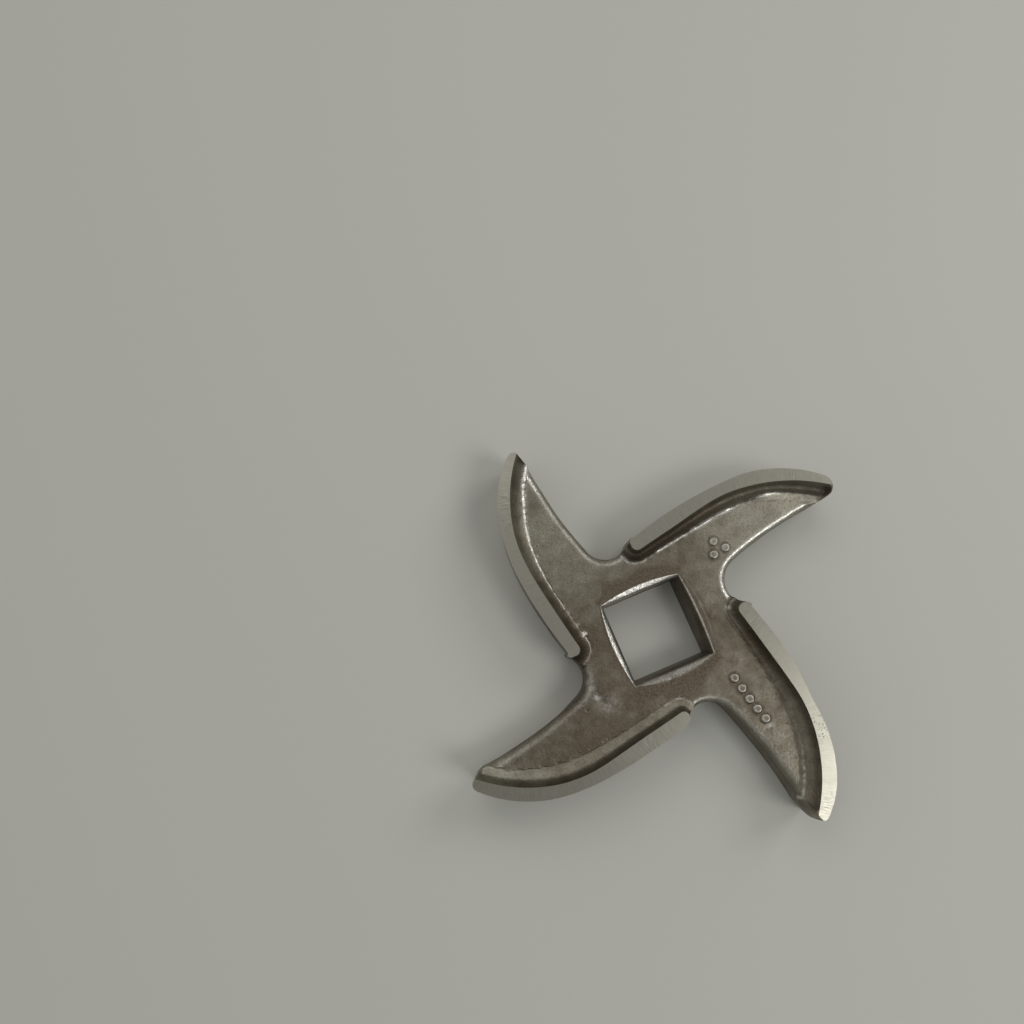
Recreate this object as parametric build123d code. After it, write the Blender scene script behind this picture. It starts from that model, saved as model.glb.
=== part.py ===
from build123d import *
import os
from math import cos, radians, sin

# Meat grinder knife: one steel casting with four sickle-shaped arms round a square drive hole.
# Each arm carries a raised, ground land along its leading edge. The land runs on the hole plate.
#
# Frame, in millimetres: the origin is on the drive axis in the plane of the flat back, +Z points
# out of the cutting face, and X and Y are parallel to the sides of the square hole. Every arm is
# drawn pointing along +X with its leading edge on the +Y side, and is then copied round the axis.
# Seen from +Z the knife turns counter-clockwise. Angles are in degrees, counter-clockwise from +X.

# --- Driving dimensions -----------------------------------------------------------------------

ARM_COUNT = 4
SWING_DIAMETER = 95.4         # circle swept by the arm tips

# Heights
WEB_THICKNESS = 9.2           # hub and arms, from the back to the cast face
LAND_RISE = 3.6               # ground land above the cast face

# Square drive hole, with a cast bell mouth that is widest at the middle of each side
SQUARE_SIDE = 16.35
MOUTH_DEPTH = 2.2
MOUTH_CORNER_FLARE = 0.45     # widening of the mouth at the corners, on each side of the square
MOUTH_MIDDLE_FLARE = 1.7      # widening at the middle of a side

# Leading edge: two arcs that meet at the crown, where the edge is parallel to the arm
CROWN_REACH = 26.4            # along the arm
CROWN_OFFSET = 22.2           # across the arm

# Arm tip: a round nose, then a short straight face back to the heel of the trailing edge
TIP_ANGLE = 17.2              # direction of the nose from the drive axis
NOSE_RADIUS = 1.3
TIP_FACE_ANGLE = 28.0         # slope of the straight face
TIP_FACE_LENGTH = 3.4
HEEL_RADIUS = 6.0

# Gullet between two arms: a round notch that runs out tangent into the trailing edge
GULLET_RADIUS = 5.3
GULLET_BOTTOM = 16.55         # from the drive axis to the bottom of the notch
GULLET_ANGLE = 5.0            # direction of the notch from the drive axis
GULLET_EXIT_ANGLE = 106.6     # where the trailing edge leaves the notch, round its own centre
GULLET_ENTRY_ANGLE = 238.0    # where the notch meets the next arm's leading edge
SHOULDER_RADIUS = 2.4         # rounding of that meeting corner
EDGE_ROUNDING = 1.3           # upper corner of the trailing edge and the notch

# Raised land: its inner edge, the crest, is a flat arc from the root that turns into a round one
LAND_ROOT_WIDTH = 3.1         # across the arm, at the shoulder
LAND_WAIST_WIDTH = 2.45       # at the waist, where the crest is parallel to the arm
LAND_TIP_WIDTH = 2.0          # square to the leading edge, at the nose
LAND_WAIST_REACH = 24.3       # the waist, along the arm
CREST_TURN_ANGLE = 9.0        # slope of the crest where the flat arc meets the round one
LAND_OVERHANG = 1.05          # how far the land reaches inwards past the shoulder
LAND_END_RADIUS = 1.2         # rounding of the land's inner end, in plan
COVE_RADIUS = 2.8             # cove between the land and the cast face
ROUNDING_RUNOUT = 0.2         # the edge rounding stops this far short of the cove

# Allowances for cutting bodies
CUT_MARGIN = 1.0              # cutters stand this far clear of the faces that they pass through

# --- Values that follow from them ---------------------------------------------------------------

PITCH = 360.0 / ARM_COUNT
SWING_RADIUS = SWING_DIAMETER / 2
LAND_HEIGHT = WEB_THICKNESS + LAND_RISE
ALONG_ARM = Vector(1, 0)
TOWARDS_AXIS = Vector(-1, 0)


def polar(radius, angle):
    """Point at this radius and direction in the plane of the back."""
    return Vector(radius * cos(radians(angle)), radius * sin(radians(angle)))


def round_axis(shape):
    """Copies of one arm's shape at every arm."""
    return [Rot(0, 0, arm * PITCH) * shape for arm in range(ARM_COUNT)]


def corners_at(sketch, point):
    """The corners of a sketch at this point of one arm, and at its copies."""
    places = [point.rotate(Axis.Z, arm * PITCH) for arm in range(ARM_COUNT)]
    reach = NOSE_RADIUS / 10
    return [
        corner
        for corner in sketch.vertices()
        if any((Vector(corner.X, corner.Y) - place).length < reach for place in places)
    ]


# --- Points of one arm ----------------------------------------------------------------------------

gullet_centre = polar(GULLET_BOTTOM + GULLET_RADIUS, GULLET_ANGLE)
gullet_exit = gullet_centre + polar(GULLET_RADIUS, GULLET_EXIT_ANGLE)
gullet_entry = gullet_centre + polar(GULLET_RADIUS, GULLET_ENTRY_ANGLE)
gullet_middle = gullet_centre + polar(GULLET_RADIUS, (GULLET_EXIT_ANGLE + GULLET_ENTRY_ANGLE) / 2)
trailing_heading = polar(1, GULLET_EXIT_ANGLE - 90)
shoulder = gullet_entry.rotate(Axis.Z, PITCH)

# The outer arc of the leading edge is tangent to the nose as well as to the arm's direction.
crown = Vector(CROWN_REACH, CROWN_OFFSET)
nose_centre = polar(SWING_RADIUS - NOSE_RADIUS, TIP_ANGLE)
crown_to_nose = nose_centre - crown
edge_radius = (crown_to_nose.length**2 - NOSE_RADIUS**2) / (-2 * (crown_to_nose.Y + NOSE_RADIUS))
edge_centre = crown - Vector(0, edge_radius)
edge_normal = (nose_centre - edge_centre).normalized()
edge_end = nose_centre + edge_normal * NOSE_RADIUS

tip_face_normal = polar(1, TIP_FACE_ANGLE - 90)
tip_face_start = nose_centre + tip_face_normal * NOSE_RADIUS
nose_middle = nose_centre + (edge_normal + tip_face_normal).normalized() * NOSE_RADIUS
heel = tip_face_start - polar(TIP_FACE_LENGTH, TIP_FACE_ANGLE)

# Inner edge of the land
crest_root = shoulder - Vector(LAND_OVERHANG, LAND_ROOT_WIDTH)
crest_waist = Vector(LAND_WAIST_REACH, CROWN_OFFSET - LAND_WAIST_WIDTH)
crest_tip = edge_end - edge_normal * LAND_TIP_WIDTH


# --- Plan of the knife ------------------------------------------------------------------------------

leading_inner = TangentArc(crown, shoulder, tangent=TOWARDS_AXIS)
leading_outer = TangentArc(crown, edge_end, tangent=ALONG_ARM)
nose = ThreePointArc(edge_end, nose_middle, tip_face_start)
tip_face = Line(tip_face_start, heel)
trailing = TangentArc(gullet_exit, heel, tangent=trailing_heading)
gullet = ThreePointArc(gullet_exit, gullet_middle, gullet_entry)

arm_outline = [leading_inner, leading_outer, nose, tip_face, trailing, gullet]
plan = make_face([edge for curve in arm_outline for edge in round_axis(curve)])
plan = fillet(corners_at(plan, shoulder), SHOULDER_RADIUS)
plan = fillet(corners_at(plan, heel), HEEL_RADIUS)


# --- Land and cove -----------------------------------------------------------------------------------

def land_band():
    """Area that keeps its full height: the land, drawn past the arm's outline on every other side."""
    crest_round = TangentArc(crest_waist, crest_tip, tangent=ALONG_ARM)
    crest_turn = JernArc(crest_waist, TOWARDS_AXIS, crest_round.edge().radius, CREST_TURN_ANGLE)
    crest_flat = TangentArc(crest_turn @ 1, crest_root, tangent=crest_turn % 1)
    run_off = crest_tip + (crest_round % 1) * (LAND_TIP_WIDTH + COVE_RADIUS + CUT_MARGIN)
    outer_corner = Vector(run_off.X, CROWN_OFFSET + COVE_RADIUS + CUT_MARGIN)
    inner_corner = Vector(crest_root.X, outer_corner.Y)
    run_off_line = Line(crest_tip, run_off)
    far_sides = Polyline(run_off, outer_corner, inner_corner, crest_root)
    band = make_face([crest_flat, crest_turn, crest_round, run_off_line, *far_sides.edges()])
    return fillet(corners_at(band, crest_root), LAND_END_RADIUS)


def pocket_cutter(band):
    """Body that lowers all but the lands to the cast face, with the coves as its rounded edges."""
    field = Circle(SWING_DIAMETER)
    field -= round_axis(band)
    cutter = Pos(0, 0, WEB_THICKNESS) * extrude(field, LAND_RISE + CUT_MARGIN)
    floor_edges = cutter.edges().group_by(Axis.Z)[0]
    cove_edges = floor_edges.filter_by(lambda edge: edge.length < SWING_DIAMETER * 2)
    return fillet(cove_edges, COVE_RADIUS)


# --- Rounded trailing edge ------------------------------------------------------------------------

def rounding_cutter(band):
    """Strip that rounds the upper corner from the tip face to the notch, up to the cove."""
    edge_line = Wire([tip_face.edge(), trailing.edge(), gullet.edge()])
    edge_line = edge_line.fillet_2d(HEEL_RADIUS, corners_at(edge_line, heel))
    start = edge_line @ 0
    heading = edge_line % 0
    inwards = Vector(heading.Y, -heading.X)
    section_plane = Plane(
        origin=(start.X, start.Y, WEB_THICKNESS),
        x_dir=inwards,
        z_dir=heading,
    )
    upwards = section_plane.y_dir.Z
    waist = EDGE_ROUNDING * (1 - cos(radians(45)))
    margin = EDGE_ROUNDING / 4
    on_face = Vector(EDGE_ROUNDING, 0)
    on_wall = Vector(0, -EDGE_ROUNDING * upwards)
    between = Vector(waist, -waist * upwards)
    corner_strip = make_face([
        ThreePointArc(on_face, between, on_wall),
        *Polyline(
            on_wall,
            on_wall - Vector(margin, 0),
            Vector(-margin, margin * upwards),
            on_face + Vector(0, margin * upwards),
            on_face,
        ).edges(),
    ])
    strip = sweep(section_plane * corner_strip, path=Pos(0, 0, WEB_THICKNESS) * edge_line)
    kept_clear = extrude(offset(band, amount=COVE_RADIUS + ROUNDING_RUNOUT), LAND_HEIGHT * 2)
    return strip - kept_clear


# --- Square drive hole --------------------------------------------------------------------------------

def drive_hole():
    """Square prism through the hub, opening out into the bell mouth at the cast face."""
    shaft = Pos(0, 0, -CUT_MARGIN) * extrude(Rectangle(SQUARE_SIDE, SQUARE_SIDE), LAND_HEIGHT + CUT_MARGIN)
    corner = SQUARE_SIDE / 2 + MOUTH_CORNER_FLARE
    middle = SQUARE_SIDE / 2 + MOUTH_MIDDLE_FLARE
    side = ThreePointArc((corner, -corner), (middle, 0), (corner, corner))
    pillow = make_face([Rot(0, 0, quarter * 90) * side for quarter in range(4)])
    mouth = loft([
        Pos(0, 0, WEB_THICKNESS - MOUTH_DEPTH) * Rectangle(SQUARE_SIDE, SQUARE_SIDE),
        Pos(0, 0, WEB_THICKNESS) * pillow,
    ])
    return shaft + mouth


# --- The knife -------------------------------------------------------------------------------------------

band = land_band()
knife = extrude(plan, LAND_HEIGHT)
knife -= pocket_cutter(band)
knife -= round_axis(rounding_cutter(band))
knife -= drive_hole()

os.makedirs("parts", exist_ok=True)
export_step(knife, "parts/grinder_knife.step")
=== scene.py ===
from math import radians

import bpy
import numpy as np
from mathutils import Matrix, Vector
from mathutils.geometry import delaunay_2d_cdt
from mathutils.kdtree import KDTree


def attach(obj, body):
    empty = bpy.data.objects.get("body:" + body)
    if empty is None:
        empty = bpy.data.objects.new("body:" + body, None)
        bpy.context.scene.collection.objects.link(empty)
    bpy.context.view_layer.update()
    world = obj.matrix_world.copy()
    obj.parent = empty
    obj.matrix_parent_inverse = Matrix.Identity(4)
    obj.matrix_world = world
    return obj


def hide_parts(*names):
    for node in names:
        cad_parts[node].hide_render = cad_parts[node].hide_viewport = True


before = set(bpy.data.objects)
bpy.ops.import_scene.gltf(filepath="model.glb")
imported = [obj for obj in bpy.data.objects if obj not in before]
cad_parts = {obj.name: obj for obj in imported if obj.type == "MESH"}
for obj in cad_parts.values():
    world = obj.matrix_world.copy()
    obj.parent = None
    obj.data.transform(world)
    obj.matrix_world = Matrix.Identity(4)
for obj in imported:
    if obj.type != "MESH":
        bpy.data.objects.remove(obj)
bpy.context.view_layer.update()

# The dressed meat grinder knife: one casting, modelled as a fine mesh over the same plan as the CAD
# solid. Lengths are in millimetres until the mesh is written, angles in degrees. Every arm is drawn
# pointing along +X with its leading edge on the +Y side, and is then turned to its place.

MM = 0.001
RANDOM = np.random.default_rng(32)

# --- Sizes shared with the solid ---

WEB = 9.2  # height of the cast face
LAND = 12.8  # height of the ground lands
SWING_RADIUS = 47.7
SQUARE_SIDE = 16.35
MOUTH_DEPTH = 2.2
CROWN = np.array([26.4, 22.2])
TIP_ANGLE = 17.2
NOSE_RADIUS = 1.3
TIP_FACE_ANGLE = 28.0
TIP_FACE_LENGTH = 3.4
GULLET_RADIUS = 5.3
GULLET_BOTTOM = 16.55
GULLET_ANGLE = 5.0
GULLET_EXIT_ANGLE = 106.6
GULLET_ENTRY_ANGLE = 238.0
SHOULDER_RADIUS = 2.4
LAND_ROOT_WIDTH = 3.1
LAND_OVERHANG = 1.05
LAND_END_RADIUS = 1.2
CREST_WAIST = np.array([24.3, 19.75])
CREST_TURN_ANGLE = 9.0
LAND_TIP_WIDTH = 2.0

# --- Bell mouth of the hole ---
# Values in fours are for the sides of the hole towards +X, +Y, -X and -Y.

MOUTH_CORNER_FLARE = 0.5
MOUTH_MIDDLE_FLARES = (1.1, 1.5, 1.5, 1.9)
# Slope of the bell mouth against the share of the way from its rim to the square
MOUTH_SLOPES = (
    ((0, 3), (0.12, 22), (0.3, 40), (0.6, 55), (0.85, 66), (1, 80)),
    ((0, 3), (0.08, 14), (0.6, 20), (0.72, 40), (0.82, 74), (1, 80)),
    ((0, 3), (0.08, 20), (0.55, 28), (0.66, 50), (0.85, 68), (1, 80)),
    ((0, 3), (0.1, 16), (0.5, 27), (0.75, 45), (0.85, 74), (1, 80)),
)
# Wear and painted highlight on the bell mouth, strongest on the sides that catch the light
MOUTH_WEAR_AND_HIGHLIGHT = (0.8, 1.0, 1.0, 0.28)
MOUTH_BRIGHT_TO = (0.85, 0.2, 0.42, 0.3)  # worn bright and painted highlight from this share of the way to the rim outwards
MOUTH_HALO = 0.05  # shallow sinking round the mouth
MOUTH_GROOVE = 0.1  # faint groove beside the mouth's side towards +X

# --- What differs from arm to arm ---
# The casting and the grinding by hand leave no two arms alike. Values in eights stand for the
# stations along the arm and are blended between them. Offsets of curves point outwards from the arm.

STATIONS = (3, 11, 17, 23, 29, 35, 40, 45)
NOWHERE = (0, 0, 0, 0, 0, 0, 0, 0)  # for values at the stations that an arm leaves out

# Sections of the cove: slope against the share of its width, from the crest to the foot
PLAIN_COVE = ((0, 82), (0.06, 80), (0.16, 68), (0.32, 56), (0.55, 45), (0.8, 35), (0.92, 27), (1.0, 4))
STEPPED_COVE = (
    (0, 82), (0.12, 76), (0.22, 58), (0.32, 42), (0.42, 44), (0.52, 58), (0.85, 58), (0.96, 48), (1.0, 4),
)
SHELVED_COVE = ((0, 84), (0.13, 77), (0.26, 62), (0.36, 44), (0.46, 28), (0.9, 21), (1.0, 10))
LEDGED_COVE = (
    (0, 83), (0.12, 76), (0.3, 62), (0.5, 52), (0.58, 30), (0.68, 16), (0.76, 48), (0.93, 52), (1.0, 6),
)
# The outer half of a cove whose foot runs out into a nearly flat terrace
TERRACED_COVE = (
    (0, 83), (0.1, 78), (0.18, 48), (0.3, 34), (0.38, 60), (0.5, 60), (0.58, 26), (0.94, 18), (1.0, 6),
)
CHANGE_OVER = (28.0, 35.0)  # places along the arm where the outer section begins, and is whole
TERRACE_SHARE = 0.4  # share of the cove's width that the terrace takes

# Per arm, the cove values darken the coves as painted shade and lighten them as painted light below zero.
# The foot and ledge values paint highlights. The edge values give wear with painted highlight on the back
# edges. The land values make the ground lands darker, or lighter below zero.
ARM_FORMS = (
    {"turn": 0, "swing": 46.8, "tip": 17.9, "nose": 2.4, "heel": 1.2, "lean": 0.2, "bulge": 0.0,
     "section": STEPPED_COVE, "outer_section": TERRACED_COVE,
     "cove_shade_and_light": 0.5, "end_rim": 2.6, "rounding": 1.3,
     "leading": (-0.2, -0.1, 0.0, 0.05, 0.15, 0.1, 0.1, 0.1),
     "back": (0.25, 0.25, 0.3, 0.0, -0.05, -0.05, -0.2, -0.3),
     "crest": (-0.1, -0.25, 0.0, 0.1, 0.0, 0.1, 0.3, 0.5),
     "cove": (2.3, 2.5, 3.0, 3.15, 2.75, 3.3, 3.75, 3.8),
     "foot_highlight": (1.2, 1.5, 1.5, 1.4, 1.3, 0.9, 0.3, 0.1),
     "edge_wear_and_highlight": (1.2, 1.2, 1.2, 1.1, 1.0, 1.0, 0.9, 0.3),
     "land_tone": (0.1, 0.1, 0.05, 0.0, 0.0, -0.05, 0.0, 0.0),
     "stain_and_shade": (0.8, 0.8, 0.45, 0.3, 0.1, 0.05, 0.1, 0.3)},
    {"turn": 90, "swing": 46.85, "tip": 17.2, "nose": 1.3, "heel": 1.2, "lean": 0.0, "bulge": 0.0,
     "section": PLAIN_COVE, "cove_shade_and_light": 0.2, "end_rim": 0.8, "rounding": 1.7,
     "leading": (-0.3, -0.15, 0.05, 0.15, -0.2, -0.1, 0.0, 0.0),
     "back": (0.25, 0.25, 0.4, 0.25, 0.0, 0.05, -0.2, -0.2),
     "crest": (0.0, -0.05, 0.0, -0.1, 0.0, 0.0, 0.2, 0.5),
     "cove": (2.5, 2.3, 2.3, 2.7, 3.0, 3.1, 2.9, 2.8),
     "foot_highlight": (0.4, 0.6, 0.8, 1.0, 1.2, 1.8, 2.6, 2.6),
     "edge_wear_and_highlight": (0.6, 0.5, 0.35, 0.2, 0.2, 0.35, 0.8, 0.9),
     "land_tone": (0.1, 0.2, 0.1, 0.0, 0.0, -0.3, -1.0, -0.3),
     "stain_and_shade": (0.75, 0.7, 0.45, 0.3, 0.3, 0.4, 0.6, 0.6)},
    {"turn": 180, "swing": 47.65, "tip": 17.2, "nose": 1.3, "heel": 1.2, "lean": -0.9, "bulge": 0.0,
     "section": SHELVED_COVE, "cove_shade_and_light": -0.3, "end_rim": 0.8, "rounding": 2.1,
     "leading": (-0.1, -0.3, -0.15, 0.0, -0.1, -0.05, 0.0, 0.0),
     "back": (0.25, 0.25, 0.6, 0.45, 0.1, -0.05, -0.3, -0.3),
     "crest": (0.0, -0.25, -0.15, 0.1, 0.25, 0.15, 0.0, -0.1),
     "cove": (2.4, 2.4, 2.65, 3.15, 3.15, 2.95, 2.5, 2.4),
     "foot_highlight": (0.4, 0.1, 0.0, 0.0, 0.0, 0.0, 0.1, 0.3),
     "edge_wear_and_highlight": (0.4, 0.4, 0.3, 0.15, 0.15, 0.2, 0.25, 0.25),
     "land_tone": (0.1, 0.3, 0.5, 0.9, 1.0, 1.0, 1.0, 1.0),
     "stain_and_shade": (0.85, 0.9, 0.95, 0.9, 0.85, 0.7, 0.5, 0.5)},
    {"turn": 270, "swing": 46.0, "tip": 17.2, "nose": 2.1, "heel": 2.2, "lean": 0.35, "bulge": 0.65,
     "section": LEDGED_COVE, "cove_shade_and_light": 0.1, "end_rim": 1.2, "rounding": 1.15,
     "leading": (-0.4, -0.15, -0.1, -0.5, -0.3, 0.15, 0.7, 0.7),
     "back": (0.25, 0.2, 0.15, -0.5, -1.05, -1.45, -1.75, -2.2),
     "crest": (-0.2, -0.15, 0.0, 0.1, 0.1, 0.2, 0.5, 0.9),
     "cove": (1.8, 2.1, 2.4, 3.0, 3.3, 3.2, 3.2, 3.1),
     "foot_highlight": (0.3, 0.15, 0.1, 0.1, 0.1, 0.1, 0.1, 0.1),
     "ledge_highlight": (0, 0, 0, 0.05, 0.1, 0.5, 0.9, 0.6),
     "edge_wear_and_highlight": (1.2, 0.9, 0.6, 0.5, 0.45, 0.4, 0.25, 0.0),
     "land_tone": (0.1, 0.0, 0.0, -0.1, 0.0, 0.0, 0.0, 0.0),
     "stain_and_shade": (0.8, 0.8, 0.7, 0.65, 0.6, 0.55, 0.6, 0.6)},
)

LEAN_FROM = (20, 30)  # reach over which a wall's lean sets in
LEAN_TO = (43, 46)  # reach over which it ends
BULGE_FROM = (41, 44)  # reach over which the bulge of a nose sets in
RIM_WIDTH = (0.1, 0.9)  # distances from the outline over which an end rim falls
RIM_LENGTH = (3.6, 1.6)  # distances inside the swing over which an end rim rises
RIM_BELOW_LAND = 0.15

# --- Marks and flaws ---

# Plain raised pips cast on two arms, three in a triangle and five in a row
PIP_RADIUS = 0.95
PIP_RISE = 0.38
PIPS = (
    (17.1, 9.5), (19.9, 9.9), (18.2, 12.0),
    (10.3, -14.6), (10.8, -17.0), (11.3, -19.4), (11.9, -21.7), (12.6, -24.0),
)
# Flaws of the casting: x, y, radius and height, with pits below zero
FLAWS = (
    (-15.1, 8.8, 0.22, 0.1), (-14.6, 7.1, 0.34, 0.22), (-14.3, 5.9, 0.25, 0.15), (-14.05, 4.8, 0.42, 0.34),
    (-13.7, 4.2, 0.2, -0.16), (-15.6, 10.3, 0.2, 0.08), (-19.5, -9.3, 0.22, -0.16), (-17.3, -5.7, 0.3, 0.08),
    (14.9, -1.5, 0.45, 0.22), (15.3, -2.8, 0.3, 0.14), (-1.3, -10.0, 0.35, -0.3), (-0.6, -9.9, 0.25, -0.2),
    (-14.7, -10.8, 0.8, -0.06), (12.9, -26.6, 0.4, 0.08), (5.1, -30.0, 0.3, -0.08),
)
SPECKS = 60  # small lumps and pits of the cast skin, strewn along the coves
DENT = (-16.6, -7.9, 1.1, 2.6, 0.2)  # x, y, half width, half length and depth of a soft dent by the hub
# Spots as x, y, radius and strength: rubbed bright with painted glints on the lumps and in the dent, scored
# more deeply, and with pores ground open
RUBBED_AND_GLINTS = (
    (-16.5, -7.7, 0.75, 1.2), (-16.9, -6.0, 0.7, 0.45), (-15.1, -9.8, 1.9, 0.28), (-17.2, -4.2, 0.6, 0.25),
    (-14.0, 4.85, 0.42, 1.5), (-14.6, 7.1, 0.25, 0.7), (-15.0, 8.75, 0.22, 0.6), (-15.2, 9.9, 0.2, 0.6),
    (14.9, -1.4, 0.5, 0.5), (15.4, -2.8, 0.35, 0.35), (12.8, -25.5, 0.7, 0.35),
)
SCORED = (
    (15.3, -42.4, 2.4, 1.0), (20.2, -29.8, 1.8, 0.7), (-18.8, 36.2, 1.9, 0.9), (16.6, -5.5, 3.2, 0.5),
    (-10.0, -19.8, 5.0, 0.45), (37.7, 18.2, 1.2, 0.5),
)
PITTED = ((20.2, -29.8, 1.7, 1.0), (20.9, -27.4, 1.4, 0.7), (16.0, -41.0, 2.0, 0.4), (-20.6, 31.0, 2.0, 0.4))

FOOT_STEP = 0.09  # the cove's foot lies this far below the web
FOOT_STEP_WIDTH = 0.16
# Unevenness, as layers of waves with their size, wavelength and seed
SKIN_WAVES = ((0.03, 11, 1), (0.002, 2.6, 2), (0.0008, 1.2, 3))
FOOT_WAVES = ((0.035, 3.1, 5), (0.02, 1.3, 6))
LAND_WAVES = ((0.001, 6, 4),)
STAIN_WAVES = ((0.06, 9, 11), (0.05, 3, 12))
WEAR_AND_HIGHLIGHT_WAVES = ((0.3, 1.6, 21), (0.25, 6, 22))
BAND_WAVES = ((0.5, 9, 31),)

HUB_STAIN = 0.85
ARM_MIDDLE = 22.0  # direction of an arm's middle in its own frame
WALL_BAND_LEVEL = 6.4  # middle of a band of painted shade round the walls
LOWEST_WEAR_AND_HIGHLIGHT = 6.5  # the walls below this height get neither wear nor painted highlight

# --- Fineness of the mesh ---

CURVE_STEP = 0.05  # points of the construction curves
EDGE_STEP = 0.32  # points along the outline and the crest
GRID_STEP = 0.36  # points on the open faces
GRID_JITTER = 0.07
DETAIL_GAP = 0.12  # clearance of those points from the finer ones round marks and flaws
# Rings beside the crest as shares of the cove's width, inside the back edge as shares of its
# rounding, round the square as shares of the bell mouth's width, and round a pip in pip radii
COVE_RINGS = (
    0.02, 0.05, 0.08, 0.11, 0.14, 0.18, 0.22, 0.27, 0.32, 0.37, 0.42, 0.47, 0.52, 0.57, 0.62, 0.67,
    0.72, 0.76, 0.8, 0.84, 0.88, 0.92, 0.95, 0.975, 1.0, 1.02, 1.04, 1.06, 1.08, 1.1, 1.13, 1.18,
)
ROUNDING_RINGS = (0.02, 0.08, 0.16, 0.27, 0.4, 0.55, 0.72, 0.9, 1.0, 1.25)
MOUTH_RINGS = (
    0.06, 0.14, 0.24, 0.35, 0.46, 0.57, 0.67, 0.76, 0.84, 0.91, 0.97, 1.02, 1.07, 1.14, 1.25, 1.4, 1.6,
)
PIP_RINGS = (0.35, 0.6, 0.7, 0.78, 0.86, 0.94, 1.02, 1.1, 1.18, 1.3)
PIP_RING_POINTS = 30
WALL_ROWS = 12
BREAK_ROWS = 3
BOTTOM_BREAK = 0.3  # rounding of the lower edges
BACK_GRID_STEP = 1.1
BACK_GRID_JITTER = 0.3
BACK_MARGIN = 0.8
ON_CREST = 0.004  # points this near to the crest count as on it
SLIVER = 1e-9  # triangles with less than this doubled area are left out
SHARP_ANGLE = 38

# --- Colours, camera and light ---

# The dark cast colour stands for brown stain and for painted shade, the bright one for wear and for painted
# highlights.
CLEAN_CAST = (0.34, 0.32, 0.255)
STAINED_AND_SHADED_CAST = (0.14, 0.115, 0.084)
WORN_AND_HIGHLIGHT_CAST = (0.78, 0.765, 0.7)
GROUND_LIGHT = (0.52, 0.50, 0.42)
GROUND_DARK = (0.47, 0.45, 0.37)
# Noise scales per metre, along and across the land where they come in twos, and bumps in metres
BLOTCH_SCALE = 420
GRAIN_SCALE = 2400
MOTTLE_SCALE = 1000
PORE_SCALE = 2300
LINE_SCALES = (5000, 500)
BAND_SCALES = (600, 60)
GRAIN_BUMP = 0.00005
MOTTLE_BUMP = 0.00009
FLOOR_COLOUR = (0.57, 0.57, 0.52)
FLOOR_ROUGHNESS = 0.6
FLOOR_HALF_SIDE = 3.0  # in metres

TABLE_TURN = 22.73  # the knife lies turned this far on the table, counter-clockwise from above
CAMERA_PLACE = Vector((-25.5, -5.44, 165.51)) * MM
CAMERA_TILT_UP = 10.77
CAMERA_TILT_SIDE = 1.47
FOCAL_SHARE = 758.1 / 1024  # focal length as a share of the image's width
SENSOR_WIDTH = 36
# Lamps: name, azimuth and zenith angle on the table, distance, sides in metres and watts
SOFT_BOXES = (
    ("key", -27, 36, 1.0, (0.4, 0.36), 2.1),
    ("side", 35, 50, 1.0, (0.42, 0.42), 1.8),
    ("fill", 105, 38, 1.2, (0.6, 0.8), 1.6),
)
GLOW_DIRECTION = Vector((-0.94, 0.2, 0.26))  # the side of the room that is brighter
ROOM_DARK = 0.18
ROOM_BRIGHT = 0.62
ROOM_COLOUR = (1.0, 1.0, 0.985)

# --- Plane curves ---


def polar(radius, angle):
    """Point at this radius and direction."""
    return np.array([radius * np.cos(radians(angle)), radius * np.sin(radians(angle))])


def turned(points, angle):
    """Points turned about the drive axis."""
    x, y = points.T
    cosine, sine = np.cos(radians(angle)), np.sin(radians(angle))
    return np.column_stack([x * cosine - y * sine, x * sine + y * cosine])


def direction(vector):
    """Direction of a vector in degrees."""
    return np.degrees(np.arctan2(vector[1], vector[0]))


def line(start, end):
    count = max(2, int(np.linalg.norm(end - start) / CURVE_STEP) + 1)
    return np.linspace(start, end, count)


def arc(centre, radius, start, end):
    count = max(2, int(radians(abs(end - start)) * radius / CURVE_STEP) + 1)
    angles = np.radians(np.linspace(start, end, count))
    return centre + radius * np.column_stack([np.cos(angles), np.sin(angles)])


def tangent_arc(start, end, heading):
    """Arc from start to end that leaves start along this heading."""
    sweep = (2 * (direction(end - start) - heading) + 180) % 360 - 180
    radius = np.linalg.norm(end - start) / 2 / abs(np.sin(radians(sweep / 2)))
    side = 90 if sweep > 0 else -90
    centre = start + polar(radius, heading + side)
    return arc(centre, radius, heading - side, heading - side + sweep)


def left_normals(curve):
    """Unit normals on the left of a curve's heading."""
    heading = np.gradient(curve, axis=0)
    heading /= np.linalg.norm(heading, axis=1)[:, None]
    return np.column_stack([-heading[:, 1], heading[:, 0]])


def spaced(curve, step):
    """The curve with evenly spaced points, first and last kept."""
    along = np.r_[0, np.cumsum(np.linalg.norm(np.diff(curve, axis=0), axis=1))]
    places = np.linspace(0, along[-1], max(2, int(along[-1] / step) + 1))
    return np.column_stack([np.interp(places, along, curve[:, k]) for k in (0, 1)])


def nearest_pair(first, second):
    """Numbers of the two points at which two curves come nearest to each other."""
    gaps = np.linalg.norm(first[:, None] - second[None], axis=2)
    return np.unravel_index(gaps.argmin(), gaps.shape)


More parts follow.
